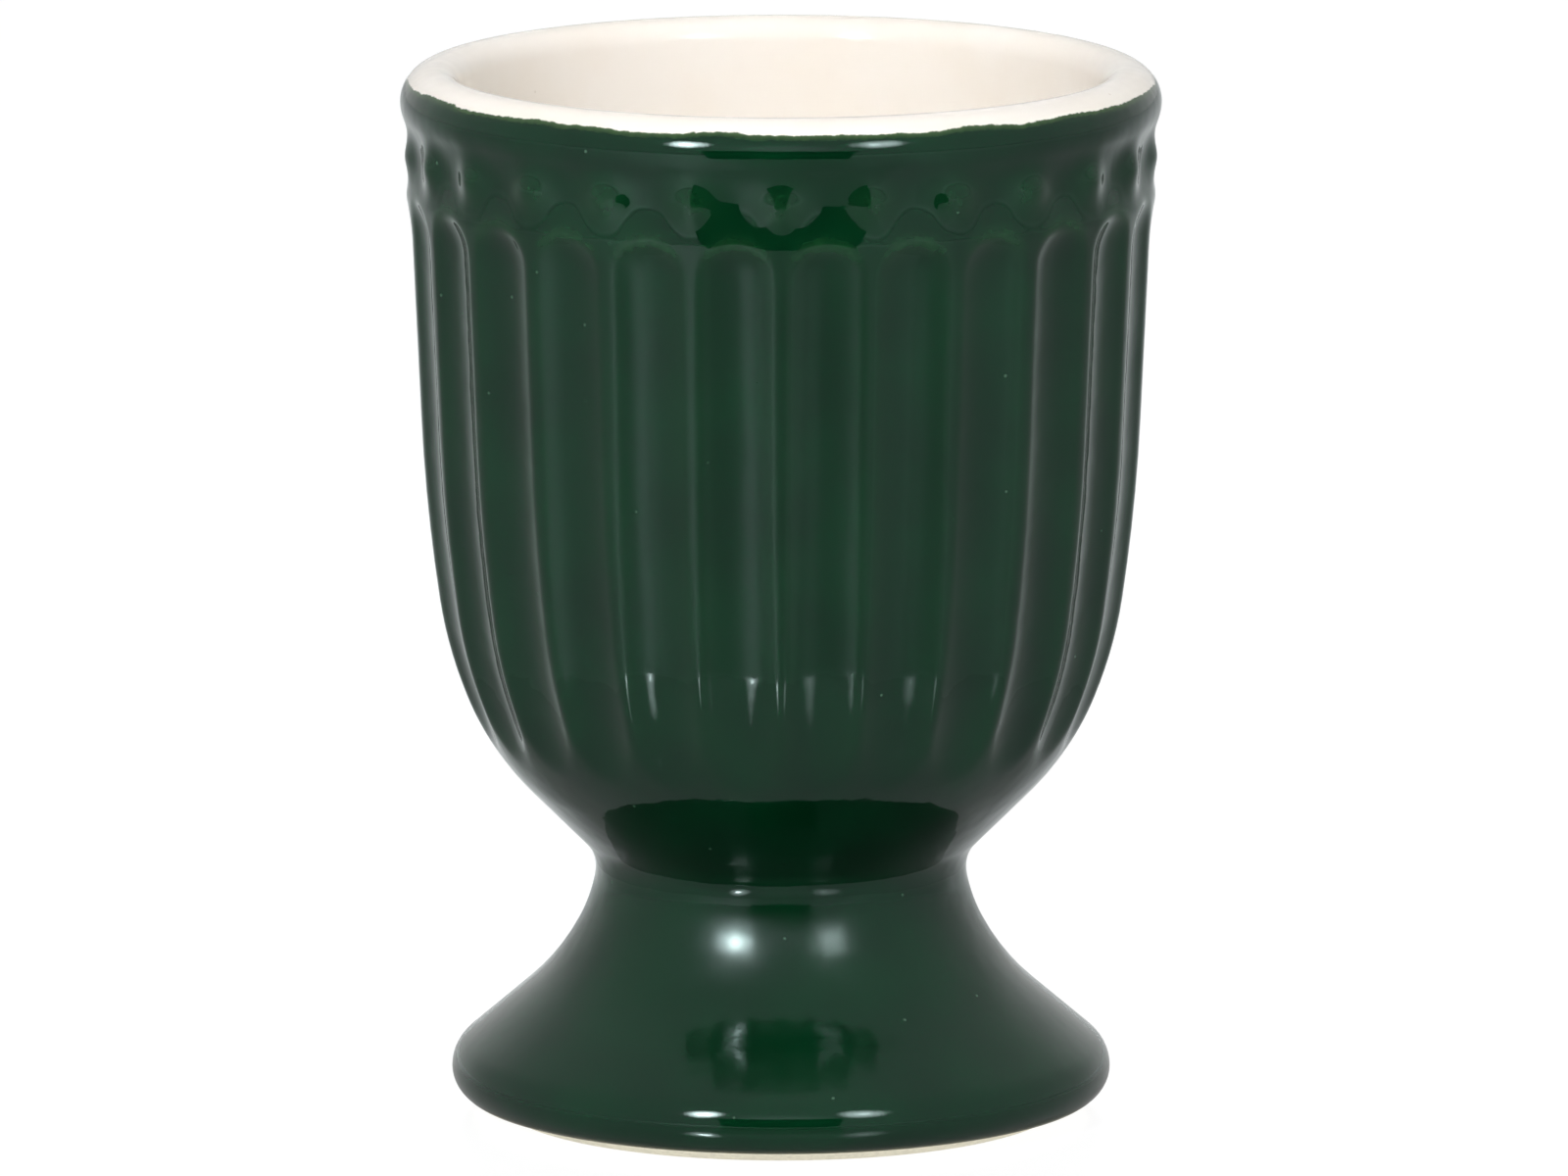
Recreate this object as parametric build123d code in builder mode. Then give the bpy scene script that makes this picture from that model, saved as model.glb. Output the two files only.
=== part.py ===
from build123d import *
from math import asin, atan2, cos, degrees, hypot, radians, sin, tan
import os

# Glazed stoneware egg cup: a fluted bowl luted to a flared, hollow foot.
# Millimetres, +Z up, origin on the table under the middle of the foot.
# All outside sizes are over the glaze. Angles are in degrees from the upright.

# Overall sizes
HEIGHT = 70.0
RIM_DIAMETER = 50.4
MOUTH_DIAMETER = 42.5
WAIST_DIAMETER = 24.7
FOOT_DIAMETER = 43.9
BASE_DIAMETER = 37.4
GLAZE = 0.3

# Rolled lip, and the channel under it that holds the beads
LIP_RADIUS = 2.3
RIM_GLAZE_ANGLE = 39.0
CHANNEL_INSET = 0.8
CHANNEL_DROP = 5.65
CHANNEL_ANGLE = 13.4
CHANNEL_RUN = 1.24
SHOULDER_RADIUS = 2.0
SHOULDER_ANGLE = 5.5
SPREAD_RADIUS = 70.0

# Bowl side, from the waist up
WAIST_UPPER_RADIUS = 2.6
CONE_ANGLE = 45.0
BELLY_RADIUS = 19.4
BELLY_ANGLE = 22.0
SIDE_RADIUS = 29.0
SIDE_ANGLE = 8.4
WALL_RADIUS = 120.0
WALL_ANGLE = 2.6

# Egg well
WELL_DEPTH = 47.5
WELL_TAPER = 2.0

# Flutes and beads
FLUTE_COUNT = 26
FLUTE_WIDTH = 4.85
FLUTE_DEPTH = 0.62
ARCH_DROP = 8.05
RUNOUT_EASE = 3.0
RUNOUT_TURN = 28.0
BEAD_RADIUS = 3.27
BEAD_RELIEF = 0.8
BEAD_CAP_ANGLE = 35.0

# Foot, from the waist down
WAIST_LOWER_RADIUS = 7.5
NECK_ANGLE = 30.5
FLARE_RADIUS = 15.5
FLARE_ANGLE = 48.5
FOOT_TOP_RADIUS = 2.5
FOOT_UNDER_RADIUS = 2.0
FOOT_EDGE_HEIGHT = 2.65
HOLLOW_DIAMETER = 30.8
HOLLOW_HEIGHT = 11.0
HOLLOW_FILLET = 2.0
FOOT_WALL = 4.0
UNDERSIDE_GLAZE_HEIGHT = 1.2
SLIP_THICKNESS = 0.4

# The green coat's blank reaches this far into the clay, past the flutes
COAT_BLANK_DEPTH = 1.6

rim_radius = RIM_DIAMETER / 2
mouth_radius = MOUTH_DIAMETER / 2
waist_radius = WAIST_DIAMETER / 2
foot_radius = FOOT_DIAMETER / 2
base_radius = BASE_DIAMETER / 2
flute_pitch = 360 / FLUTE_COUNT


def bend_run(radius, steep, upright):
    """Outward and upward run of an arc that turns between two angles from the upright."""
    outward = radius * (cos(radians(upright)) - cos(radians(steep)))
    upward = radius * (sin(radians(steep)) - sin(radians(upright)))
    return Vector(outward, upward)


def slant(angle):
    """Unit step up a straight run that leans outward by an angle."""
    return Vector(sin(radians(angle)), cos(radians(angle)))


# The straight skirt of the foot takes up what the bends leave between foot and waist
foot_bends = (
    bend_run(FOOT_TOP_RADIUS, FLARE_ANGLE, 0)
    + bend_run(FLARE_RADIUS, FLARE_ANGLE, NECK_ANGLE)
    + bend_run(WAIST_LOWER_RADIUS, NECK_ANGLE, 0)
)
flare_length = (foot_radius - waist_radius - foot_bends.X) / slant(FLARE_ANGLE).X
waist_height = FOOT_EDGE_HEIGHT + foot_bends.Y + flare_length * slant(FLARE_ANGLE).Y
seam_height = waist_height - SLIP_THICKNESS

# The hollow of the channel touches the round of the lip
lip_center = Vector(rim_radius - LIP_RADIUS, HEIGHT - LIP_RADIUS)
channel = Vector(rim_radius - CHANNEL_INSET, HEIGHT - CHANNEL_DROP)
channel_way = channel - lip_center
channel_radius = (channel_way.length**2 - LIP_RADIUS**2) / (2 * (LIP_RADIUS - channel_way.X))
lip_angle = degrees(atan2(-channel_way.Y, channel_way.X + channel_radius))

# Below the channel a short slope and a round shoulder lead down to the spreading wall
channel_bends = bend_run(channel_radius + SHOULDER_RADIUS, CHANNEL_ANGLE, 0)
channel_foot = Vector(channel_bends.X, -channel_bends.Y)
channel_slope = Vector(slant(CHANNEL_ANGLE).X, -slant(CHANNEL_ANGLE).Y) * CHANNEL_RUN
shoulder = channel + channel_foot + channel_slope
wall_top = (
    shoulder
    - bend_run(SHOULDER_RADIUS, SHOULDER_ANGLE, 0)
    - bend_run(SPREAD_RADIUS, SHOULDER_ANGLE, WALL_ANGLE)
)

# The cone above the waist and the straight wall take up what the bowl's bends leave
bowl_left = (
    wall_top
    - Vector(waist_radius, waist_height)
    - bend_run(WAIST_UPPER_RADIUS, CONE_ANGLE, 0)
    - bend_run(BELLY_RADIUS, CONE_ANGLE, BELLY_ANGLE)
    - bend_run(SIDE_RADIUS, BELLY_ANGLE, SIDE_ANGLE)
    - bend_run(WALL_RADIUS, SIDE_ANGLE, WALL_ANGLE)
)
lean_between = sin(radians(CONE_ANGLE - WALL_ANGLE))
cone_length = (bowl_left.X * slant(WALL_ANGLE).Y - bowl_left.Y * slant(WALL_ANGLE).X) / lean_between
wall_length = (bowl_left.Y * slant(CONE_ANGLE).X - bowl_left.X * slant(CONE_ANGLE).Y) / lean_between

# Inside of the rim, and the well that ends in a round floor
mouth_round = (lip_center.X - mouth_radius) / slant(WELL_TAPER).Y
mouth_height = HEIGHT - mouth_round * (1 - slant(WELL_TAPER).X)
well_floor = HEIGHT - WELL_DEPTH
well_wall = (mouth_height - well_floor) * slant(WELL_TAPER).Y / (1 - slant(WELL_TAPER).X) - mouth_radius
well_round = (mouth_radius - well_wall * slant(WELL_TAPER).X) / slant(WELL_TAPER).Y

# The bare bevel runs from the standing ring up to touch the clay's round foot edge
under_center = Vector(foot_radius - FOOT_UNDER_RADIUS, FOOT_EDGE_HEIGHT)
bevel_span = hypot(under_center.X - base_radius, under_center.Y)
bevel_angle = degrees(
    atan2(under_center.Y, under_center.X - base_radius) - asin((FOOT_UNDER_RADIUS - GLAZE) / bevel_span)
)


def foot_line(inset):
    """Foot outline from the bevel's top to the waist, moved into the clay by inset."""
    reach = FOOT_UNDER_RADIUS - inset
    bevel_top = under_center + Vector(sin(radians(bevel_angle)), -cos(radians(bevel_angle))) * reach
    bevel_way = Vector(cos(radians(bevel_angle)), sin(radians(bevel_angle)))
    under = JernArc(bevel_top, bevel_way, reach, 90 - bevel_angle)
    top = JernArc(under @ 1, under % 1, FOOT_TOP_RADIUS - inset, FLARE_ANGLE)
    skirt = Line(top @ 1, top @ 1 + (top % 1) * flare_length)
    flare = JernArc(skirt @ 1, skirt % 1, FLARE_RADIUS + inset, NECK_ANGLE - FLARE_ANGLE)
    neck = JernArc(flare @ 1, flare % 1, WAIST_LOWER_RADIUS + inset, -NECK_ANGLE)
    return under @ 0, neck @ 1


def bowl_line(inset):
    """Bowl outline from the waist to the glaze boundary on the lip, smooth through the belly's bends."""
    waist = JernArc((waist_radius - inset, waist_height), (0, 1), WAIST_UPPER_RADIUS + inset, -CONE_ANGLE)
    cone = Line(waist @ 1, waist @ 1 + (waist % 1) * cone_length)
    belly = JernArc(cone @ 1, cone % 1, BELLY_RADIUS - inset, CONE_ANGLE - BELLY_ANGLE, mode=Mode.PRIVATE)
    side = JernArc(belly @ 1, belly % 1, SIDE_RADIUS - inset, BELLY_ANGLE - SIDE_ANGLE, mode=Mode.PRIVATE)
    curve = JernArc(side @ 1, side % 1, WALL_RADIUS - inset, SIDE_ANGLE - WALL_ANGLE, mode=Mode.PRIVATE)
    Spline(belly @ 0, side @ 0, curve @ 0, curve @ 1, tangents=(cone % 1, curve % 1))
    wall = Line(curve @ 1, curve @ 1 + (curve % 1) * wall_length)
    spread = JernArc(wall @ 1, wall % 1, SPREAD_RADIUS + inset, WALL_ANGLE - SHOULDER_ANGLE)
    bulge = JernArc(spread @ 1, spread % 1, SHOULDER_RADIUS - inset, SHOULDER_ANGLE + CHANNEL_ANGLE)
    slope = Line(bulge @ 1, bulge @ 1 + (bulge % 1) * CHANNEL_RUN)
    cove = JernArc(slope @ 1, slope % 1, channel_radius + inset, -CHANNEL_ANGLE - lip_angle)
    lip = JernArc(cove @ 1, cove % 1, LIP_RADIUS - inset, lip_angle + RIM_GLAZE_ANGLE)
    return waist @ 0, lip @ 1, lip % 1


def rim_line(inset, start, way):
    """Outline over the rim and down the well to the middle of its floor."""
    crest = JernArc(start, way, LIP_RADIUS - inset, 90 - RIM_GLAZE_ANGLE)
    mouth = JernArc(crest @ 1, crest % 1, mouth_round - inset, 90 - WELL_TAPER)
    wall = Line(mouth @ 1, mouth @ 1 + (mouth % 1) * well_wall)
    floor = JernArc(wall @ 1, wall % 1, well_round + inset, WELL_TAPER - 90)
    return floor @ 1


def lip_boundary(inset):
    """Point and direction on the lip where the two glazes meet."""
    up = radians(RIM_GLAZE_ANGLE)
    point = lip_center + Vector(cos(up), sin(up)) * (LIP_RADIUS - inset)
    return point, Vector(-sin(up), cos(up))


def hollow_face(coat):
    """Half section of the hollow under the foot, less a coat on its walls."""
    outward = Vector(cos(radians(FLARE_ANGLE)), sin(radians(FLARE_ANGLE)))
    skirt = Vector(foot_radius - FOOT_TOP_RADIUS, FOOT_EDGE_HEIGHT) + outward * FOOT_TOP_RADIUS
    inner = skirt - outward * (GLAZE + FOOT_WALL + coat)
    wall_radius = HOLLOW_DIAMETER / 2 - coat
    ceiling = HOLLOW_HEIGHT - coat
    wall_height = inner.Y + (inner.X - wall_radius) / tan(radians(FLARE_ANGLE))
    ceiling_radius = inner.X - (ceiling - inner.Y) * tan(radians(FLARE_ANGLE))
    with BuildSketch(Plane.XZ) as half:
        with BuildLine():
            Polyline(
                (0, 0),
                (wall_radius, 0),
                (wall_radius, wall_height),
                (ceiling_radius, ceiling),
                (0, ceiling),
                close=True,
            )
        make_face()
        corners = half.vertices().filter_by(lambda corner: corner.X > 0 and corner.Y > 0)
        fillet(corners, HOLLOW_FILLET - coat)
    return half.sketch_local


def flute_cutter(inset):
    """Round cutter that follows the wall down from an arch and runs out over the belly."""
    flute_radius = FLUTE_WIDTH**2 / (8 * FLUTE_DEPTH) + FLUTE_DEPTH / 2
    stand_off = flute_radius - FLUTE_DEPTH
    rise = HEIGHT - ARCH_DROP - FLUTE_WIDTH / 2 - wall_top.Y
    lean = degrees(asin(slant(WALL_ANGLE).X + rise / SPREAD_RADIUS))
    outward = Vector(slant(lean).Y, -slant(lean).X)
    start = wall_top + bend_run(SPREAD_RADIUS, lean, WALL_ANGLE) + outward * stand_off
    down = slant(lean) * -1
    runout_radius = SIDE_RADIUS + stand_off + RUNOUT_EASE
    with BuildPart() as cutter:
        with BuildLine(Plane.XZ) as path:
            spread = JernArc((start.X, start.Y), (down.X, down.Y), SPREAD_RADIUS - stand_off, lean - WALL_ANGLE)
            run = Line(spread @ 1, spread @ 1 + (spread % 1) * wall_length)
            bend = JernArc(run @ 1, run % 1, WALL_RADIUS + stand_off, WALL_ANGLE - SIDE_ANGLE)
            JernArc(bend @ 1, bend % 1, runout_radius, -RUNOUT_TURN)
        with BuildSketch(Plane(origin=path.line @ 0, z_dir=path.line % 0)):
            Circle(flute_radius + inset)
        sweep()
        with Locations(path.line @ 0):
            Sphere(flute_radius + inset)
    return cutter.part


def cut_flutes(cutter):
    """Cut every third flute at a time, so that the cutters of one pass stay apart."""
    turns = [Rotation(0, 0, number * flute_pitch) for number in range(FLUTE_COUNT)]
    for first in range(3):
        with Locations(*turns[first::3]):
            add(cutter, clean=False, mode=Mode.SUBTRACT)


def add_beads(inset):
    """Set a round bead in the channel over each ridge between flutes."""
    center_radius = channel.X + BEAD_RELIEF - BEAD_RADIUS
    with Locations((0, 0, channel.Y)):
        with PolarLocations(center_radius, FLUTE_COUNT, start_angle=flute_pitch / 2):
            Sphere(BEAD_RADIUS - inset, arc_size1=BEAD_CAP_ANGLE, rotation=(0, 90, 0), align=None)


# Bowl: turned section with the egg well, then flutes and beads in the clay
clay_cutter = flute_cutter(GLAZE)
with BuildPart() as bowl:
    with BuildSketch(Plane.XZ):
        with BuildLine():
            waist_point, lip_point, lip_way = bowl_line(GLAZE)
            floor_point = rim_line(GLAZE, lip_point, lip_way)
            Polyline(floor_point, (0, waist_height), waist_point)
        make_face()
    revolve(axis=Axis.Z)
    cut_flutes(clay_cutter)
    add_beads(GLAZE)

# Stand: turned section from the standing ring to the waist, hollowed from below
with BuildPart() as stand:
    with BuildSketch(Plane.XZ):
        with BuildLine():
            bevel_point, neck_point = foot_line(GLAZE)
            Polyline(neck_point, (0, waist_height), (0, 0), (base_radius, 0), bevel_point)
        make_face()
    revolve(axis=Axis.Z)
    with BuildSketch(Plane.XZ):
        add(hollow_face(0))
    revolve(axis=Axis.Z, mode=Mode.SUBTRACT)

# Foot: the stand below the seam
with BuildPart() as foot:
    add(stand.part)
    split(bisect_by=Plane.XY.offset(seam_height), keep=Keep.BOTTOM)

# Luting slip: the thin layer between the seam and the bowl
with BuildPart() as luting_slip:
    add(stand.part)
    split(bisect_by=Plane.XY.offset(seam_height), keep=Keep.TOP)

# Green glaze: a skin over bowl, slip and foot that follows flutes and beads
glaze_cutter = flute_cutter(0)
with BuildPart() as green_glaze:
    with BuildSketch(Plane.XZ):
        with BuildLine():
            skirt_point, _ = foot_line(0)
            _, rim_point, _ = bowl_line(0)
            inner_skirt_point, _ = foot_line(COAT_BLANK_DEPTH)
            _, inner_rim_point, _ = bowl_line(COAT_BLANK_DEPTH)
            Line(rim_point, inner_rim_point)
            Line(skirt_point, inner_skirt_point)
        make_face()
    revolve(axis=Axis.Z)
    cut_flutes(glaze_cutter)
    add_beads(0)
    add([bowl.part, luting_slip.part, foot.part], mode=Mode.SUBTRACT)

# Ivory glaze: the skin of the well, over the crest of the rim to the green
with BuildPart() as ivory_glaze:
    with BuildSketch(Plane.XZ):
        with BuildLine():
            outer_point, outer_way = lip_boundary(0)
            clay_point, clay_way = lip_boundary(GLAZE)
            glaze_floor = rim_line(0, outer_point, outer_way)
            clay_floor = rim_line(GLAZE, clay_point, clay_way)
            Line(outer_point, clay_point)
            Line(glaze_floor, clay_floor)
        make_face()
    revolve(axis=Axis.Z)

# Underside glaze: the skin of the hollow, short of the bare standing ring
with BuildPart() as underside_glaze:
    with BuildSketch(Plane.XZ):
        add(hollow_face(0))
        add(hollow_face(GLAZE), mode=Mode.SUBTRACT)
        Rectangle(HOLLOW_DIAMETER, 2 * UNDERSIDE_GLAZE_HEIGHT, mode=Mode.SUBTRACT)
    revolve(axis=Axis.Z)

bowl.part.label = "bowl"
foot.part.label = "foot"
luting_slip.part.label = "luting_slip"
green_glaze.part.label = "green_glaze"
ivory_glaze.part.label = "ivory_glaze"
underside_glaze.part.label = "underside_glaze"

os.makedirs("parts", exist_ok=True)
export_step(bowl.part, "parts/bowl.step")
export_step(foot.part, "parts/foot.step")
export_step(luting_slip.part, "parts/luting_slip.step")
export_step(green_glaze.part, "parts/green_glaze.step")
export_step(ivory_glaze.part, "parts/ivory_glaze.step")
export_step(underside_glaze.part, "parts/underside_glaze.step")
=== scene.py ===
import math

import bpy
import numpy as np
from bpy.props import FloatProperty, FloatVectorProperty, IntProperty, PointerProperty
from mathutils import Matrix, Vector
from mathutils.kdtree import KDTree


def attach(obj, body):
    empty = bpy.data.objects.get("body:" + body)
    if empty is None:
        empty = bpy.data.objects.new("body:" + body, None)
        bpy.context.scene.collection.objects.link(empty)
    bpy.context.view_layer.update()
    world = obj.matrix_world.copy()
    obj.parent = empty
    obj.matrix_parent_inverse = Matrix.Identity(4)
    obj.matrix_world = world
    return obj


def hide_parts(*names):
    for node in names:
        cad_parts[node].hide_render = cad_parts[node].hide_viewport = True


bl_info = {
    "name": "Fluted egg cup",
    "version": (1, 0, 0),
    "blender": (4, 5, 0),
    "location": "View3D > Sidebar > Egg cup",
    "description": "Glaze coats, clay finishes and stage of a fluted stoneware egg cup",
    "category": "Object",
}

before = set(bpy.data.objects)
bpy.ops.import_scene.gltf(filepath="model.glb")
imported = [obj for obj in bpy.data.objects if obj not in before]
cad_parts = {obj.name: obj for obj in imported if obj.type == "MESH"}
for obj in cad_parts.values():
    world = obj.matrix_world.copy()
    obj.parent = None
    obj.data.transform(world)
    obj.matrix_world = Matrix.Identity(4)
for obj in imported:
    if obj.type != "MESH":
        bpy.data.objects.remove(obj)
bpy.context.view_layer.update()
TURN = 2 * math.pi
RIGHT_ANGLE = math.radians(90)
MILLIMETRE = 0.001
MERGE_DISTANCE = 1e-6
SMOOTH_ANGLE = math.radians(50)

# The inner wall of the green coat follows every fifth stop of its outline
INNER_STEP = 5

# Share of its relief below which the foot of a bead is cut off
BEAD_FOOT = 0.01

# How far past its end a fading flute may rise, so that its edge clears the wall
FADE_LIMIT = 1.4

# Share of a flute's radius beyond which its round goes on level
ROUND_LIMIT = 0.99

# Heights above the table between which the green finish changes, in metres
FRINGE = (0.06868, 0.06918)
BARE_RIM = (0.06911, 0.06920)
BURNT = (0.00115, 0.00082)
ABOVE_EDGE = (0.0030, 0.0050)
ABOVE_FLARE = (0.0088, 0.0114)
BELOW_WAIST = (0.0166, 0.0146)

# How far the edges of the green wander and fray, in metres
WANDER = 0.0007
FRAY = 0.00022

# Roughness that the satin neck and skirt have on top of the polish
NECK_SATIN = 0.14
SKIRT_SATIN = 0.05

# Share of the glaze's slow waves that is left on the foot
FOOT_WAVES = 0.3

# Share of the floor that glows for the camera and for diffuse bounces
CAMERA_GLOW = 0.83
BOUNCE_GLOW = 0.65


def size(name, description, millimetres):
    """A length that a user may change, given in millimetres."""
    return FloatProperty(
        name=name,
        description=description,
        default=millimetres * MILLIMETRE,
        min=0,
        precision=5,
        subtype="DISTANCE",
        unit="LENGTH",
    )


def angle(name, description, degrees):
    """An angle that a user may change, given in degrees."""
    return FloatProperty(
        name=name,
        description=description,
        default=math.radians(degrees),
        subtype="ANGLE",
    )


def amount(name, description, value, low=0):
    """A plain number that a user may change."""
    return FloatProperty(name=name, description=description, default=value, min=low)


def colour(name, description, value):
    """A colour that a user may change, in linear light."""
    return FloatVectorProperty(
        name=name,
        description=description,
        default=value,
        size=3,
        min=0,
        max=1,
        precision=4,
        subtype="COLOR",
    )


class CupOutline(bpy.types.PropertyGroup):
    """Runs and bends of the turned outline over the glaze, from the waist up and down."""

    waist_radius: size("Waist radius", "Half the width at the pinched waist", 12.35)
    waist_height: size("Waist height", "Height of the waist above the table", 16.17)
    waist_upper_bend: size("Waist upper bend", "Radius between waist and cone", 2.6)
    cone_lean: angle("Cone lean", "Lean of the cone above the waist from the upright", 45)
    cone_run: size("Cone run", "Straight length of the cone", 5.117)
    belly_bend: size("Belly bend", "Radius of the belly above the cone", 19.4)
    belly_lean: angle("Belly lean", "Lean where the belly meets the side", 22)
    side_bend: size("Side bend", "Radius of the side above the belly", 29)
    side_lean: angle("Side lean", "Lean where the side meets the wall", 8.4)
    wall_bend: size("Wall bend", "Radius of the long curve into the wall", 120)
    wall_lean: angle("Wall lean", "Lean of the straight wall", 2.6)
    wall_run: size("Wall run", "Straight length of the wall", 11.571)
    spread_bend: size("Spread bend", "Radius where the wall spreads under the shoulder", 25)
    shoulder_lean: angle("Shoulder lean", "Lean of the spread wall at the shoulder", 9.3)
    shoulder_bend: size("Shoulder bend", "Radius of the shoulder over the arches", 2)
    channel_lean: angle("Channel lean", "Inward lean of the slope above the shoulder", 11.5)
    channel_run: size("Channel run", "Straight length of that slope", 1.38)
    channel_bend: size("Channel bend", "Radius of the hollow channel that holds the beads", 5.114)
    lip_lean: angle("Lip lean", "Lean where the channel meets the lip", 26.86)
    lip_bend: size("Lip bend", "Radius of the rolled lip", 2.3)
    lip_join: angle("Lip join", "Angle up the lip's round where the two coats join", 46)
    mouth_bend: size("Mouth bend", "Radius from the crest of the rim into the well", 1.65)
    well_taper: angle("Well taper", "Lean of the well's wall", 2)
    well_run: size("Well run", "Straight length of the well's wall", 26.29)
    well_round: size("Well round", "Radius of the well's round floor", 20.345)
    waist_lower_bend: size("Waist lower bend", "Radius just under the waist", 4)
    waist_lower_lean: angle("Waist lower lean", "Lean where that bend meets the neck", 12)
    neck_bend: size("Neck bend", "Radius of the neck", 11)
    neck_lean: angle("Neck lean", "Lean where the neck meets the flare", 28)
    flare_bend: size("Flare bend", "Radius of the flare", 15.63)
    skirt_lean: angle("Skirt lean", "Lean of the straight skirt", 49.5)
    skirt_run: size("Skirt run", "Straight length of the skirt", 5.18)
    foot_top_bend: size("Foot top bend", "Radius over the foot's edge", 2.5)
    foot_under_bend: size("Foot under bend", "Radius under the foot's edge", 2)
    bevel_rise: angle("Bevel rise", "Rise of the bare bevel from the table", 29.3)
    glaze_edge: size("Glaze edge", "Radius of the round end of the green coat", 0.3)


class FluteRelief(bpy.types.PropertyGroup):
    """Flutes and beads pressed into the bowl, and where the glaze runs thin on them."""

    count: IntProperty(
        name="Flutes",
        description="Number of flutes and of beads",
        default=26,
        min=3,
    )
    columns: IntProperty(
        name="Columns",
        description="Mesh columns of the green coat for each flute",
        default=24,
        min=6,
    )
    well_columns: IntProperty(
        name="Well columns",
        description="Mesh columns of the ivory coat for each flute",
        default=9,
        min=3,
    )
    flute_width: size("Flute width", "Width of a flute at the wall", 4.85)
    flute_depth: size("Flute depth", "Depth of a flute at the wall", 0.62)
    arch_height: size("Arch height", "Height of the arched tops above the table", 61.95)
    run_in: angle("Run-in lean", "Lean of the side where the flutes start to fade", 12)
    run_out: angle("Run-out lean", "Lean of the belly where the flutes end", 32)
    run_bend: amount("Run-out bend", "How late the flutes fade", 3.5, low=1)
    ridge_softness: size("Ridge softness", "How far the edges of the ridges are rounded off", 0.06)
    bead_height: size("Bead height", "Height of the beads above the table", 64.4)
    bead_half_width: size("Bead half width", "Half the width of a bead in the channel", 2.0)
    bead_half_height: size("Bead half height", "Half the height of a bead in the channel", 1.9)
    bead_relief: size("Bead relief", "How far a bead stands out of the channel", 0.62)
    bead_peak: amount("Bead peak", "How steeply a bead rises to its top", 1.7)
    glaze: size("Glaze", "Thickness of the coats", 0.25)
    edge_width: size("Edge width", "Width of the thin glaze along a flute's edges", 0.28)
    edge_thinness: amount("Edge thinness", "How thin the glaze is along a flute", 0.1)
    arch_thinness: amount("Arch thinness", "How much thinner it is at the top of an arch", 0.42)
    arch_reach: size("Arch reach", "Height up the arch at which it is thinnest", 1.8)
    crown_thinness: amount("Crown thinness", "How thin the glaze is on a bead's crown", 0.3)


class CupColours(bpy.types.PropertyGroup):
    """Colours of the glazes, of the bare clay and of their specks."""

    green_deep: colour("Deep green", "Green glaze where it lies thick", (0.0004, 0.0175, 0.0055))
    green_thin: colour("Thin green", "Green glaze on edges, where it is thin", (0.012, 0.062, 0.020))
    fringe: colour("Fringe", "Edge of the green glaze on the rim", (0.042, 0.085, 0.026))
    pale_speck: colour("Pale speck", "Light specks in the green glaze", (0.10, 0.19, 0.13))
    pinhole: colour("Pinhole", "Dark pinholes in the green glaze", (0.012, 0.008, 0.006))
    ivory: colour("Ivory", "Ivory glaze", (0.9, 0.855, 0.79))
    ivory_iron: colour("Iron in ivory", "Iron specks in the ivory glaze", (0.42, 0.34, 0.24))
    bare_clay: colour("Bare clay", "Unglazed stoneware", (0.92, 0.875, 0.71))
    clay_iron: colour("Iron in clay", "Iron specks in the bare clay", (0.22, 0.16, 0.09))
    burnt_edge: colour("Burnt edge", "Toasted line where glaze ends on clay", (0.13, 0.115, 0.045))


class StudioStage(bpy.types.PropertyGroup):
    """Lens of the camera and strength of each light."""

    lens: amount("Lens", "Focal length of the camera in millimetres", 410.8)
    left_lamp: amount("Left lamp", "Brightness of the left lamp", 28)
    left_core: amount("Left core", "Brightness of the left bulb", 170)
    right_lamp: amount("Right lamp", "Brightness of the right lamp", 9)
    right_core: amount("Right core", "Brightness of the right bulb", 6)
    tent: amount("Tent", "Brightness of the white tent", 0.48)
    tent_glow: amount("Tent glow", "Brightness of the tent's cloth between the lamps", 0.4)
    backdrop: amount("Backdrop", "Brightness of the tent behind the cup", 0.7)
    fill: FloatProperty(
        name="Fill",
        description="Power of the fill light",
        default=2.1,
        min=0,
        unit="POWER",
    )


def straight(length, steps):
    """A straight run of the outline."""
    return length, 0.0, steps


def bend(radius, turn, steps):
    """A round run of the outline; a positive turn is to the left."""
    return radius * abs(turn), turn, steps


def walk(point, heading, runs):
    """Follow runs from a point; each stop is radius, height and heading."""
    stops = [(*point, heading)]
    for length, turn, steps in runs:
        swing = turn / steps
        stride = length / steps
        if swing:
            stride *= math.sin(swing / 2) / (swing / 2)
        for _ in range(steps):
            radius, height, heading = stops[-1]
            radius += stride * math.cos(heading + swing / 2)
            height += stride * math.sin(heading + swing / 2)
            stops.append((radius, height, heading + swing))
    return stops


def bowl_runs(cup):
    """Runs from the waist up to the join of the coats on the lip."""
    return [
        bend(cup.waist_upper_bend, -cup.cone_lean, steps=6),
        straight(cup.cone_run, steps=4),
        bend(cup.belly_bend, cup.cone_lean - cup.belly_lean, steps=14),
        bend(cup.side_bend, cup.belly_lean - cup.side_lean, steps=7),
        bend(cup.wall_bend, cup.side_lean - cup.wall_lean, steps=5),
        straight(cup.wall_run, steps=2),
        bend(cup.spread_bend, cup.wall_lean - cup.shoulder_lean, steps=10),
        bend(cup.shoulder_bend, cup.shoulder_lean + cup.channel_lean, steps=4),
        straight(cup.channel_run, steps=4),
        bend(cup.channel_bend, -cup.channel_lean - cup.lip_lean, steps=13),
        bend(cup.lip_bend, cup.lip_lean + cup.lip_join, steps=12),
    ]


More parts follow.
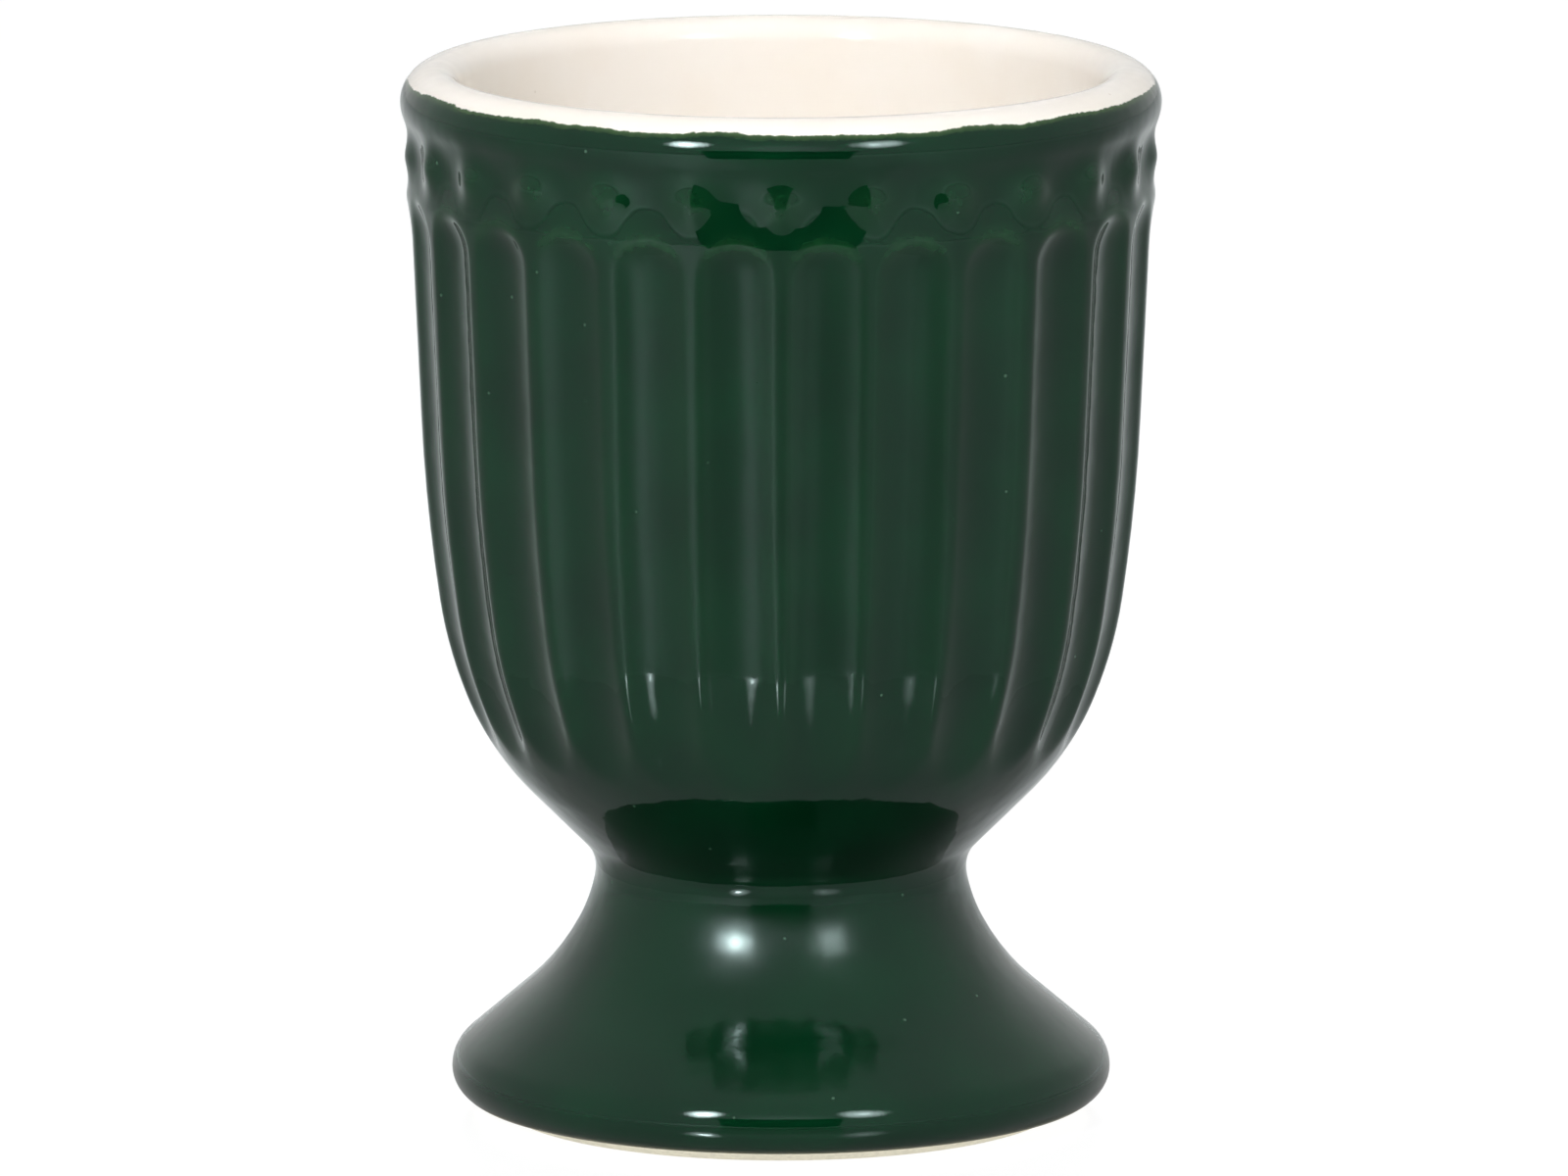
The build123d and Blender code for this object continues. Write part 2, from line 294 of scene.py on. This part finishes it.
def foot_runs(cup):
    """Runs from the waist down to the rounded edge of the glaze above the bevel."""
    return [
        bend(cup.waist_lower_bend, cup.waist_lower_lean, steps=4),
        bend(cup.neck_bend, cup.neck_lean - cup.waist_lower_lean, steps=6),
        bend(cup.flare_bend, cup.skirt_lean - cup.neck_lean, steps=5),
        straight(cup.skirt_run, steps=6),
        bend(cup.foot_top_bend, -cup.skirt_lean, steps=7),
        bend(cup.foot_under_bend, cup.bevel_rise - RIGHT_ANGLE, steps=8),
        bend(cup.glaze_edge, -RIGHT_ANGLE, steps=4),
    ]


def well_runs(cup):
    """Runs from the join on the lip over the rim and down to the middle of the well's floor."""
    return [
        bend(cup.lip_bend, RIGHT_ANGLE - cup.lip_join, steps=7),
        bend(cup.mouth_bend, RIGHT_ANGLE - cup.well_taper, steps=12),
        straight(cup.well_run, steps=10),
        bend(cup.well_round, cup.well_taper - RIGHT_ANGLE, steps=20),
    ]


def green_stops(cup):
    """Outside of the green coat, from its lower edge to the join on the lip."""
    waist = (cup.waist_radius, cup.waist_height)
    lower = walk(waist, -RIGHT_ANGLE, foot_runs(cup))
    upper = walk(waist, RIGHT_ANGLE, bowl_runs(cup))
    turned = [(radius, height, heading + math.pi) for radius, height, heading in reversed(lower[1:])]
    return turned + upper


def inside(stop, depth):
    """The point that lies a depth under a stop of the outline."""
    radius, height, heading = stop
    return max(0.0, radius - depth * math.sin(heading)), height + depth * math.cos(heading)


def draw_section(name, points):
    """Extrude one vertex from point to point, and back to the first one, in the XZ plane."""
    bpy.ops.object.select_all(action="DESELECT")
    bpy.ops.mesh.primitive_plane_add(size=MILLIMETRE, location=(0, 0, 0))
    piece = bpy.context.active_object
    piece.name = name
    piece.data.name = name
    bpy.ops.object.mode_set(mode="EDIT")
    bpy.ops.mesh.merge(type="CENTER")
    bpy.ops.transform.translate(value=(points[0][0], 0, points[0][1]))
    for start, end in zip(points, points[1:] + points[:1]):
        step = (end[0] - start[0], 0, end[1] - start[1])
        bpy.ops.mesh.extrude_vertices_move(TRANSFORM_OT_translate={"value": step})
    bpy.ops.mesh.select_all(action="SELECT")
    bpy.ops.mesh.remove_doubles(threshold=MERGE_DISTANCE)
    bpy.ops.object.mode_set(mode="OBJECT")
    return piece


def spin_section(steps):
    """Spin the active piece's section once round the upright axis and close the seam."""
    bpy.ops.object.mode_set(mode="EDIT")
    bpy.ops.mesh.select_all(action="SELECT")
    bpy.ops.mesh.spin(steps=steps, angle=TURN, center=(0, 0, 0), axis=(0, 0, 1))
    bpy.ops.mesh.select_all(action="SELECT")
    bpy.ops.mesh.remove_doubles(threshold=MERGE_DISTANCE)
    bpy.ops.mesh.normals_make_consistent(inside=False)
    bpy.ops.object.mode_set(mode="OBJECT")


def point_array(piece):
    """The piece's vertices as rows of x, y and z."""
    flat = np.empty(len(piece.data.vertices) * 3)
    piece.data.vertices.foreach_get("co", flat)
    return flat.reshape(-1, 3)


def nearest_headings(points, stops, thickness):
    """Heading of the outline at each vertex, for both walls of a coat."""
    marks = stops + [(*inside(stop, thickness), stop[2]) for stop in stops]
    tree = KDTree(len(marks))
    for number, (radius, height, _) in enumerate(marks):
        tree.insert((radius, height, 0), number)
    tree.balance()
    reach = np.hypot(points[:, 0], points[:, 1])
    found = [tree.find((radius, height, 0))[1] for radius, height in zip(reach, points[:, 2])]
    return np.array([marks[number][2] for number in found])


def press_relief(piece, stops, relief):
    """Press the flutes into the bowl, raise the beads, and note where the glaze runs thin."""
    points = point_array(piece)
    heading = nearest_headings(points, stops, relief.glaze)
    lean = np.pi / 2 - heading
    reach = np.hypot(points[:, 0], points[:, 1])
    around = np.arctan2(points[:, 1], points[:, 0])
    height = points[:, 2]
    cup = bpy.context.scene.cup_outline
    on_bowl = height > cup.waist_height + cup.waist_upper_bend

    # Flutes of round section, with round tops, that fade out on the belly
    pitch = TURN / relief.count
    across = (around + pitch / 2) % pitch - pitch / 2
    groove = relief.flute_width**2 / (8 * relief.flute_depth) + relief.flute_depth / 2
    arch_centre = relief.arch_height - relief.flute_width / 2
    above = np.maximum(0, height - arch_centre)
    fade = np.clip((lean - relief.run_in) / (relief.run_out - relief.run_in), 0, FADE_LIMIT)
    fade = np.where(height < arch_centre, fade**relief.run_bend, 0)
    depth = relief.flute_depth * (1 - fade)
    cuts = []
    for offset in (across, pitch - np.abs(across)):
        far = np.minimum(np.hypot(offset * reach, above), groove * ROUND_LIMIT)
        cuts.append(depth - groove + np.sqrt(groove**2 - far**2))
    soft = relief.ridge_softness
    cut = soft * np.logaddexp(np.logaddexp(0, cuts[0] / soft), cuts[1] / soft)
    cut = np.where(on_bowl, cut, 0)

    # One bell-shaped bead over each ridge
    ridge = pitch / 2 - np.abs(across)
    sideways = ridge * reach / relief.bead_half_width
    upwards = (height - relief.bead_height) / relief.bead_half_height
    bead = relief.bead_relief * np.exp(-relief.bead_peak * (sideways**2 + upwards**2))
    bead = np.maximum(0, bead - BEAD_FOOT * relief.bead_relief)

    push = bead - cut
    outward = np.sin(heading)
    points[:, 0] += push * outward * np.cos(around)
    points[:, 1] += push * outward * np.sin(around)
    points[:, 2] -= push * np.cos(heading)
    piece.data.vertices.foreach_set("co", points.ravel())
    piece.data.update()

    # Thin glaze along the flutes' edges, most of all on the arches, and on the beads
    edge = 1 / np.cosh(cuts[0] / relief.edge_width) ** 2
    arched = np.clip(above / relief.arch_reach, 0, 1)
    thin = edge * (relief.edge_thinness + relief.arch_thinness * arched**3) * np.clip(1 - fade, 0, 1)
    crown = np.clip(bead / relief.bead_relief, 0, 1)
    thin = np.where(on_bowl, np.maximum(thin, relief.crown_thinness * crown), 0)
    note = piece.data.attributes.new("thin_glaze", "FLOAT", "POINT")
    note.data.foreach_set("value", thin.astype(np.float32))


def new_material(name):
    """A node material with its nodes and links."""
    material = bpy.data.materials.new(name)
    material.use_nodes = True
    return material, material.node_tree.nodes, material.node_tree.links


def object_place(nodes):
    """Object coordinates."""
    return nodes.new("ShaderNodeTexCoord").outputs["Object"]


def separate(nodes, links, vector):
    """The X, Y and Z outputs of a vector."""
    node = nodes.new("ShaderNodeSeparateXYZ")
    links.new(vector, node.inputs[0])
    return node.outputs


def vector_length(nodes, links, vector):
    """Length of a vector."""
    node = nodes.new("ShaderNodeVectorMath")
    node.operation = "LENGTH"
    links.new(vector, node.inputs[0])
    return node.outputs["Value"]


def noise(nodes, links, place, scale, detail=2.0, roughness=0.5):
    """Noise on object coordinates."""
    node = nodes.new("ShaderNodeTexNoise")
    node.inputs["Scale"].default_value = scale
    node.inputs["Detail"].default_value = detail
    node.inputs["Roughness"].default_value = roughness
    links.new(place, node.inputs["Vector"])
    return node.outputs["Fac"]


def math_node(nodes, links, operation, *values, clamp=False):
    """A sum, product or the like of numbers and sockets."""
    node = nodes.new("ShaderNodeMath")
    node.operation = operation
    node.use_clamp = clamp
    for socket, value in zip(node.inputs, values):
        if isinstance(value, bpy.types.NodeSocket):
            links.new(value, socket)
        else:
            socket.default_value = value
    return node.outputs[0]


def ramp_range(nodes, links, value, low, high):
    """A smooth step that is zero at low and one at high."""
    node = nodes.new("ShaderNodeMapRange")
    node.interpolation_type = "SMOOTHSTEP"
    node.inputs["From Min"].default_value = low
    node.inputs["From Max"].default_value = high
    links.new(value, node.inputs["Value"])
    return node.outputs["Result"]


def mix_colour(nodes, links, factor, first, second):
    """First colour at factor zero, second at one."""
    node = nodes.new("ShaderNodeMix")
    node.data_type = "RGBA"
    links.new(factor, node.inputs[0])
    for socket, value in zip((node.inputs[6], node.inputs[7]), (first, second)):
        if isinstance(value, bpy.types.NodeSocket):
            links.new(value, socket)
        else:
            socket.default_value = (*value, 1)
    return node.outputs[2]


def mix_shader(nodes, links, factor, first, second):
    """First shader at factor zero, second at one."""
    node = nodes.new("ShaderNodeMixShader")
    for socket, value in zip(node.inputs, (factor, first, second)):
        links.new(value, socket)
    return node.outputs[0]


def grey(level):
    """A grey of one level."""
    return level, level, level


def specks(nodes, links, place, scale, share, radius):
    """Small round specks, in only a share of the cells."""
    cells = nodes.new("ShaderNodeTexVoronoi")
    cells.inputs["Scale"].default_value = scale
    links.new(place, cells.inputs["Vector"])
    dot = ramp_range(nodes, links, cells.outputs["Distance"], low=radius, high=radius / 2)
    parts = nodes.new("ShaderNodeSeparateColor")
    links.new(cells.outputs["Color"], parts.inputs["Color"])
    chosen = math_node(nodes, links, "LESS_THAN", parts.outputs[0], share)
    return math_node(nodes, links, "MULTIPLY", dot, chosen)


def lay_specks(nodes, links, body, dots, strength, tint):
    """Specks of a tint over a body colour."""
    factor = math_node(nodes, links, "MULTIPLY", dots, strength)
    return mix_colour(nodes, links, factor, body, tint)


def add_bump(nodes, links, shader, height, distance):
    """Bump from a height socket."""
    node = nodes.new("ShaderNodeBump")
    node.inputs["Distance"].default_value = distance
    links.new(height, node.inputs["Height"])
    links.new(node.outputs["Normal"], shader.inputs["Normal"])


def add_polish(nodes, links, place, scale, spread, least):
    """Roughness of a gloss glaze, from its least value up by a spread."""
    cloud = noise(nodes, links, place, scale=scale, detail=3)
    gloss = ramp_range(nodes, links, cloud, low=0.2, high=0.8)
    return math_node(nodes, links, "MULTIPLY_ADD", gloss, spread, least)


def ivory_colour(nodes, links, place, colours):
    """Ivory with faint clouding and a few iron specks."""
    cloud = noise(nodes, links, place, scale=140, detail=3)
    tone = ramp_range(nodes, links, cloud, low=0.3, high=0.7)
    warmth = (0.985, 0.97, 0.95)
    warm = tuple(channel * factor for channel, factor in zip(colours.ivory, warmth))
    body = mix_colour(nodes, links, tone, colours.ivory, warm)
    iron = specks(nodes, links, place, scale=420, share=0.06, radius=0.07)
    return lay_specks(nodes, links, body, iron, strength=0.35, tint=colours.ivory_iron)


def green_body(nodes, links, place, colours):
    """Green that clouds, thins to a lighter tone on the edges, and holds specks and pinholes."""
    thin = nodes.new("ShaderNodeAttribute")
    thin.attribute_name = "thin_glaze"
    feather = noise(nodes, links, place, scale=1600, detail=3)
    feather = ramp_range(nodes, links, feather, low=0.25, high=0.75)
    spread = math_node(nodes, links, "MULTIPLY_ADD", feather, 0.6, 0.5)
    thinness = math_node(nodes, links, "MULTIPLY", thin.outputs["Fac"], spread, clamp=True)

    cloud = noise(nodes, links, place, scale=170, detail=4)
    cloud = ramp_range(nodes, links, cloud, low=0.3, high=0.75)
    brighter = tuple(1.45 * channel for channel in colours.green_deep)
    body = mix_colour(nodes, links, cloud, colours.green_deep, brighter)
    body = mix_colour(nodes, links, thinness, body, colours.green_thin)

    light = specks(nodes, links, place, scale=620, share=0.16, radius=0.085)
    body = lay_specks(nodes, links, body, light, strength=0.5, tint=colours.pale_speck)
    pinholes = specks(nodes, links, place, scale=260, share=0.10, radius=0.055)
    return lay_specks(nodes, links, body, pinholes, strength=0.8, tint=colours.pinhole)


def green_ends(nodes, links, place, height, body, colours):
    """The frayed edge of the green on the rim and its toasted edge above the bare foot."""
    broad = noise(nodes, links, place, scale=190, detail=2)
    wander = math_node(nodes, links, "MULTIPLY_ADD", broad, WANDER, -WANDER / 2)
    fine = noise(nodes, links, place, scale=1900, detail=3)
    fray = math_node(nodes, links, "MULTIPLY_ADD", fine, FRAY, -FRAY / 2)
    ragged = math_node(nodes, links, "ADD", height, math_node(nodes, links, "ADD", wander, fray))
    fringe = math_node(nodes, links, "POWER", ramp_range(nodes, links, ragged, *FRINGE), 1.6)
    body = mix_colour(nodes, links, fringe, body, colours.fringe)
    bare_rim = ramp_range(nodes, links, ragged, *BARE_RIM)
    body = mix_colour(nodes, links, bare_rim, body, ivory_colour(nodes, links, place, colours))
    burnt = ramp_range(nodes, links, math_node(nodes, links, "ADD", height, fray), *BURNT)
    return mix_colour(nodes, links, burnt, body, colours.burnt_edge)


def green_glaze_material(colours):
    """Gloss glaze that is deep in the hollows, satin on the neck and frayed on the rim."""
    material, nodes, links = new_material("green_glaze_gloss")
    shader = nodes["Principled BSDF"]
    place = object_place(nodes)
    height = separate(nodes, links, place)["Z"]
    body = green_body(nodes, links, place, colours)
    body = green_ends(nodes, links, place, height, body, colours)
    links.new(body, shader.inputs["Base Color"])

    polish = add_polish(nodes, links, place, scale=600, spread=0.03, least=0.035)
    above_flare = ramp_range(nodes, links, height, *ABOVE_FLARE)
    below_waist = ramp_range(nodes, links, height, *BELOW_WAIST)
    above_edge = ramp_range(nodes, links, height, *ABOVE_EDGE)
    neck = math_node(nodes, links, "MULTIPLY", above_flare, NECK_SATIN)
    foot = math_node(nodes, links, "MULTIPLY_ADD", above_edge, SKIRT_SATIN, neck)
    rough = math_node(nodes, links, "MULTIPLY_ADD", below_waist, foot, polish)
    links.new(rough, shader.inputs["Roughness"])
    shader.inputs["IOR"].default_value = 1.52
    shader.inputs["Specular Tint"].default_value = (0.8, 1, 1, 1)

    # Slow waves in the glaze, fainter on the foot, under a fine orange peel
    swell = math_node(nodes, links, "MULTIPLY_ADD", above_flare, 1 - FOOT_WAVES, FOOT_WAVES)
    level = math_node(nodes, links, "SUBTRACT", noise(nodes, links, place, scale=190), 0.5)
    wave = math_node(nodes, links, "MULTIPLY", level, swell)
    pores = noise(nodes, links, place, scale=1100)
    peel = math_node(nodes, links, "MULTIPLY_ADD", pores, 0.05, wave)
    add_bump(nodes, links, shader, peel, distance=0.12 * MILLIMETRE)
    return material


def ivory_glaze_material(colours):
    """Ivory gloss glaze."""
    material, nodes, links = new_material("ivory_glaze_gloss")
    shader = nodes["Principled BSDF"]
    place = object_place(nodes)
    links.new(ivory_colour(nodes, links, place, colours), shader.inputs["Base Color"])
    polish = add_polish(nodes, links, place, scale=500, spread=0.05, least=0.06)
    links.new(polish, shader.inputs["Roughness"])
    shader.inputs["IOR"].default_value = 1.5
    waves = noise(nodes, links, place, scale=230)
    add_bump(nodes, links, shader, waves, distance=0.06 * MILLIMETRE)
    return material


def bare_clay_material(colours):
    """Matt fired stoneware with a fine grain and a few iron specks."""
    material, nodes, links = new_material("bare_stoneware")
    shader = nodes["Principled BSDF"]
    place = object_place(nodes)
    grain = noise(nodes, links, place, scale=2600, detail=4, roughness=0.65)
    tone = ramp_range(nodes, links, grain, low=0.3, high=0.7)
    dull = tuple(0.84 * channel for channel in colours.bare_clay)
    body = mix_colour(nodes, links, tone, dull, colours.bare_clay)
    iron = specks(nodes, links, place, scale=700, share=0.08, radius=0.12)
    body = lay_specks(nodes, links, body, iron, strength=0.6, tint=colours.clay_iron)
    links.new(body, shader.inputs["Base Color"])
    shader.inputs["Roughness"].default_value = 0.8
    add_bump(nodes, links, shader, grain, distance=0.05 * MILLIMETRE)
    return material


def finish_coat(piece, material, node):
    """Shade, dress and place a coat in the stead of its CAD node."""
    bpy.ops.object.shade_smooth_by_angle(angle=SMOOTH_ANGLE)
    piece.data.materials.clear()
    piece.data.materials.append(material)
    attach(piece, "root")
    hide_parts(node)


def dress(node, material):
    """Give a CAD node that keeps its shape its finish."""
    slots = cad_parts[node].data.materials
    slots.clear()
    slots.append(material)


class EGGCUP_OT_green_glaze(bpy.types.Operator):
    """Turn the green coat over bowl and foot, with its flutes and beads"""

    bl_idname = "eggcup.green_glaze"
    bl_label = "Green glaze"
    bl_options = {"REGISTER", "UNDO"}

    def execute(self, context):
        relief = context.scene.flute_relief
        stops = green_stops(context.scene.cup_outline)
        inner_stops = stops[: INNER_STEP - 1 : -INNER_STEP]
        inner = [inside(stop, relief.glaze) for stop in inner_stops]
        piece = draw_section("green_glaze_coat", [stop[:2] for stop in stops] + inner)
        spin_section(relief.count * relief.columns)
        press_relief(piece, stops, relief)
        material = green_glaze_material(context.scene.cup_colours)
        finish_coat(piece, material, "green_glaze")
        return {"FINISHED"}


class EGGCUP_OT_ivory_glaze(bpy.types.Operator):
    """Turn the ivory coat of the rim and the egg well"""

    bl_idname = "eggcup.ivory_glaze"
    bl_label = "Ivory glaze"
    bl_options = {"REGISTER", "UNDO"}

    def execute(self, context):
        cup = context.scene.cup_outline
        relief = context.scene.flute_relief
        radius, height, heading = green_stops(cup)[-1]
        stops = walk((radius, height), heading, well_runs(cup))
        stops[-1] = (0.0, *stops[-1][1:])
        inner = [inside(stop, relief.glaze) for stop in reversed(stops)]
        piece = draw_section("ivory_glaze_coat", [stop[:2] for stop in stops] + inner)
        spin_section(relief.count * relief.well_columns)
        material = ivory_glaze_material(context.scene.cup_colours)
        finish_coat(piece, material, "ivory_glaze")
        return {"FINISHED"}


class EGGCUP_OT_clay(bpy.types.Operator):
    """Finish the bare clay of bowl, luting slip and foot"""

    bl_idname = "eggcup.clay"
    bl_label = "Bare clay"
    bl_options = {"REGISTER", "UNDO"}

    def execute(self, context):
        material = bare_clay_material(context.scene.cup_colours)
        for node in ("bowl", "luting_slip", "foot"):
            dress(node, material)
        return {"FINISHED"}


class EGGCUP_OT_underside_glaze(bpy.types.Operator):
    """Finish the coat in the hollow under the foot"""

    bl_idname = "eggcup.underside_glaze"
    bl_label = "Underside glaze"
    bl_options = {"REGISTER", "UNDO"}

    def execute(self, context):
        dress("underside_glaze", bpy.data.materials["ivory_glaze_gloss"])
        return {"FINISHED"}


def emit(nodes, links, strength=1.0, tint=(1, 1, 1)):
    """An emission shader of a tint, with a strength that may be a socket."""
    node = nodes.new("ShaderNodeEmission")
    node.inputs["Color"].default_value = (*tint, 1)
    if isinstance(strength, bpy.types.NodeSocket):
        links.new(strength, node.inputs["Strength"])
    else:
        node.inputs["Strength"].default_value = strength
    return node.outputs[0]


def show(nodes, links, surface):
    """Make a shader the surface of its material."""
    links.new(surface, nodes["Material Output"].inputs["Surface"])


def lamp_material(name, brightness, core, tent):
    """Cloth front of a soft lamp, brightest before its bulb."""
    material, nodes, links = new_material(name)
    away = vector_length(nodes, links, object_place(nodes))
    fall = ramp_range(nodes, links, away, low=0.5, high=0.1)
    bulb = ramp_range(nodes, links, away, low=0.16, high=0.05)
    cloth = math_node(nodes, links, "MULTIPLY_ADD", fall, brightness, tent)
    total = math_node(nodes, links, "MULTIPLY_ADD", bulb, core, cloth)
    show(nodes, links, emit(nodes, links, total))
    return material


def add_lamp(name, azimuth, elevation, spread, brightness, core, tent):
    """A soft lamp that faces the cup's middle from a metre away."""
    way = Vector(
        (
            math.sin(azimuth) * math.cos(elevation),
            -math.cos(azimuth) * math.cos(elevation),
            math.sin(elevation),
        )
    )
    middle = Vector((0, 0, 0.04))
    bpy.ops.mesh.primitive_plane_add(size=1, location=way + middle)
    lamp = bpy.context.active_object
    lamp.name = name
    lamp.scale = (*spread, 1)
    lamp.rotation_euler = way.to_track_quat("Z", "Y").to_euler()
    lamp.data.materials.append(lamp_material(name, brightness, core, tent))
    lamp.visible_camera = False
    lamp.visible_shadow = False


def floor_shade(nodes, links, place, away, dull, glossy):
    """Floor colour that reflections see: mid grey with painted shade in front of the cup past its
    polished ring, lighter far off, and painted light behind the cup; pale grey for other rays.
    """
    facing = math_node(nodes, links, "DIVIDE", separate(nodes, links, place)["Y"], away)
    front = ramp_range(nodes, links, facing, low=-0.74, high=-0.84)
    painted_front_shade = math_node(nodes, links, "MULTIPLY", front, dull)
    far = ramp_range(nodes, links, away, low=0.35, high=0.9)
    back = ramp_range(nodes, links, facing, low=0.35, high=0.9)
    # Painted shade in front of the cup and painted light behind it, seen only in reflections
    seen = mix_colour(nodes, links, painted_front_shade, grey(0.41), grey(0.25))
    seen = mix_colour(nodes, links, far, seen, grey(0.66))
    seen = mix_colour(nodes, links, back, seen, (0.95, 0.99, 1.0))
    return mix_colour(nodes, links, glossy, grey(0.85), seen)


def floor_material():
    """Floor that the camera sees as white, with the cup's soft shadow; clear from below."""
    material, nodes, links = new_material("pale_floor")
    shader = nodes["Principled BSDF"]
    ray = nodes.new("ShaderNodeLightPath").outputs
    place = object_place(nodes)
    away = vector_length(nodes, links, place)
    dull = ramp_range(nodes, links, away, low=0.064, high=0.072)
    shade = floor_shade(nodes, links, place, away, dull, ray["Is Glossy Ray"])
    links.new(shade, shader.inputs["Base Color"])
    shader.inputs["IOR"].default_value = 2
    polish = math_node(nodes, links, "MULTIPLY_ADD", dull, 0.5, 0.02)
    links.new(polish, shader.inputs["Roughness"])

    bounced = math_node(nodes, links, "MULTIPLY", ray["Is Diffuse Ray"], BOUNCE_GLOW)
    share = math_node(nodes, links, "MULTIPLY_ADD", ray["Is Camera Ray"], CAMERA_GLOW, bounced)
    glow = emit(nodes, links, strength=1.1)
    lit = mix_shader(nodes, links, share, shader.outputs[0], glow)
    below = nodes.new("ShaderNodeNewGeometry").outputs["Backfacing"]
    clear = nodes.new("ShaderNodeBsdfTransparent").outputs[0]
    show(nodes, links, mix_shader(nodes, links, below, lit, clear))
    return material


def add_floor():
    """A wide floor, a hair under the standing ring."""
    bpy.ops.mesh.primitive_plane_add(size=8, location=(0, 0, -0.02 * MILLIMETRE))
    floor = bpy.context.active_object
    floor.name = "floor"
    floor.data.materials.append(floor_material())
    return floor


def add_tent_opening():
    """The dark front of the tent, a little wider at its top, that only reflections show."""
    half_height = 0.07
    upper_half_width = 0.135
    lower_half_width = 0.115
    place = (0, -0.33, half_height)
    bpy.ops.mesh.primitive_plane_add(size=1, location=place, rotation=(RIGHT_ANGLE, 0, 0))
    gap = bpy.context.active_object
    gap.name = "tent_opening"
    for corner in gap.data.vertices:
        half_width = upper_half_width if corner.co.y > 0 else lower_half_width
        across = math.copysign(half_width, corner.co.x)
        corner.co = (across, math.copysign(half_height, corner.co.y), 0)
    material, nodes, links = new_material("tent_opening")
    show(nodes, links, emit(nodes, links, tint=grey(0.01)))
    gap.data.materials.append(material)
    gap.visible_camera = False
    gap.visible_diffuse = False
    gap.visible_shadow = False
    gap.visible_transmission = False
    return gap


def add_fill(power):
    """A wide light from the upper right that reflections don't show."""
    turn = (math.radians(33), 0, math.radians(39))
    bpy.ops.object.light_add(type="AREA", location=(0.4, -0.5, 0.75), rotation=turn)
    fill = bpy.context.active_object
    fill.name = "fill"
    fill.data.energy = power
    fill.data.size = 0.7
    fill.visible_glossy = False


def light_world(scene, tent, backdrop):
    """White tent all round, brighter behind the cup, that the camera sees as white."""
    world = bpy.data.worlds.new("white_tent")
    scene.world = world
    world.use_nodes = True
    nodes, links = world.node_tree.nodes, world.node_tree.links
    background = nodes["Background"]
    background.inputs["Color"].default_value = (1, 1, 1, 1)
    way = separate(nodes, links, nodes.new("ShaderNodeTexCoord").outputs["Generated"])
    behind = ramp_range(nodes, links, way["Y"], low=0.55, high=0.95)
    around = math_node(nodes, links, "MULTIPLY_ADD", behind, backdrop - tent, tent)
    seen = nodes.new("ShaderNodeLightPath").outputs["Is Camera Ray"]
    level = math_node(nodes, links, "MAXIMUM", around, seen)
    links.new(level, background.inputs["Strength"])


def add_camera(scene, lens):
    """Camera at the photograph's viewing angle."""
    bpy.ops.object.camera_add(location=(0.0002, -1.1704, 0.2459))
    camera = bpy.context.active_object
    camera.data.lens = lens
    aim = Vector((0.0002, 0, 0.0349)) - camera.location
    camera.rotation_euler = aim.to_track_quat("-Z", "Y").to_euler()
    scene.camera = camera


class EGGCUP_OT_stage(bpy.types.Operator):
    """Set the floor, the tent with its open front, the lamps, the fill light and the camera"""

    bl_idname = "eggcup.stage"
    bl_label = "Stage"
    bl_options = {"REGISTER", "UNDO"}

    def execute(self, context):
        studio = context.scene.studio_stage
        bpy.ops.object.select_all(action="DESELECT")
        floor = add_floor()
        gap = add_tent_opening()
        add_lamp(
            "left_lamp",
            azimuth=math.radians(-29),
            elevation=math.radians(30),
            spread=(0.27, 0.44),
            brightness=studio.left_lamp,
            core=studio.left_core,
            tent=studio.tent,
        )
        add_lamp(
            "right_lamp",
            azimuth=math.radians(31),
            elevation=math.radians(30),
            spread=(0.34, 0.48),
            brightness=studio.right_lamp,
            core=studio.right_core,
            tent=studio.tent,
        )
        add_lamp(
            "tent_glow",
            azimuth=0,
            elevation=math.radians(24),
            spread=(0.8, 0.5),
            brightness=studio.tent_glow,
            core=0,
            tent=studio.tent,
        )
        add_fill(studio.fill)
        light_world(context.scene, studio.tent, studio.backdrop)
        add_camera(context.scene, studio.lens)
        context.scene.view_settings.view_transform = "Standard"
        return {"FINISHED"}


class EGGCUP_PT_steps(bpy.types.Panel):
    """The steps that dress the egg cup, and their sizes and colours"""

    bl_idname = "EGGCUP_PT_steps"
    bl_label = "Egg cup"
    bl_space_type = "VIEW_3D"
    bl_region_type = "UI"
    bl_category = "Egg cup"

    def draw(self, context):
        for operator in OPERATORS:
            self.layout.operator(operator.bl_idname)
        for name in GROUPS:
            group = getattr(context.scene, name)
            box = self.layout.box()
            for key in group.__annotations__:
                box.prop(group, key)


GROUPS = {
    "cup_outline": CupOutline,
    "flute_relief": FluteRelief,
    "cup_colours": CupColours,
    "studio_stage": StudioStage,
}
OPERATORS = (
    EGGCUP_OT_green_glaze,
    EGGCUP_OT_ivory_glaze,
    EGGCUP_OT_clay,
    EGGCUP_OT_underside_glaze,
    EGGCUP_OT_stage,
)


def register():
    """Register the classes and hang the property groups on the scene."""
    for name, group in GROUPS.items():
        bpy.utils.register_class(group)
        setattr(bpy.types.Scene, name, PointerProperty(type=group))
    for item in (*OPERATORS, EGGCUP_PT_steps):
        bpy.utils.register_class(item)


def unregister():
    """Undo what register did."""
    for item in reversed((*OPERATORS, EGGCUP_PT_steps)):
        bpy.utils.unregister_class(item)
    for name, group in GROUPS.items():
        delattr(bpy.types.Scene, name)
        bpy.utils.unregister_class(group)


def main():
    """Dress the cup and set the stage."""
    register()
    bpy.ops.eggcup.green_glaze()
    bpy.ops.eggcup.ivory_glaze()
    bpy.ops.eggcup.clay()
    bpy.ops.eggcup.underside_glaze()
    bpy.ops.eggcup.stage()


if __name__ == "__main__":
    main()
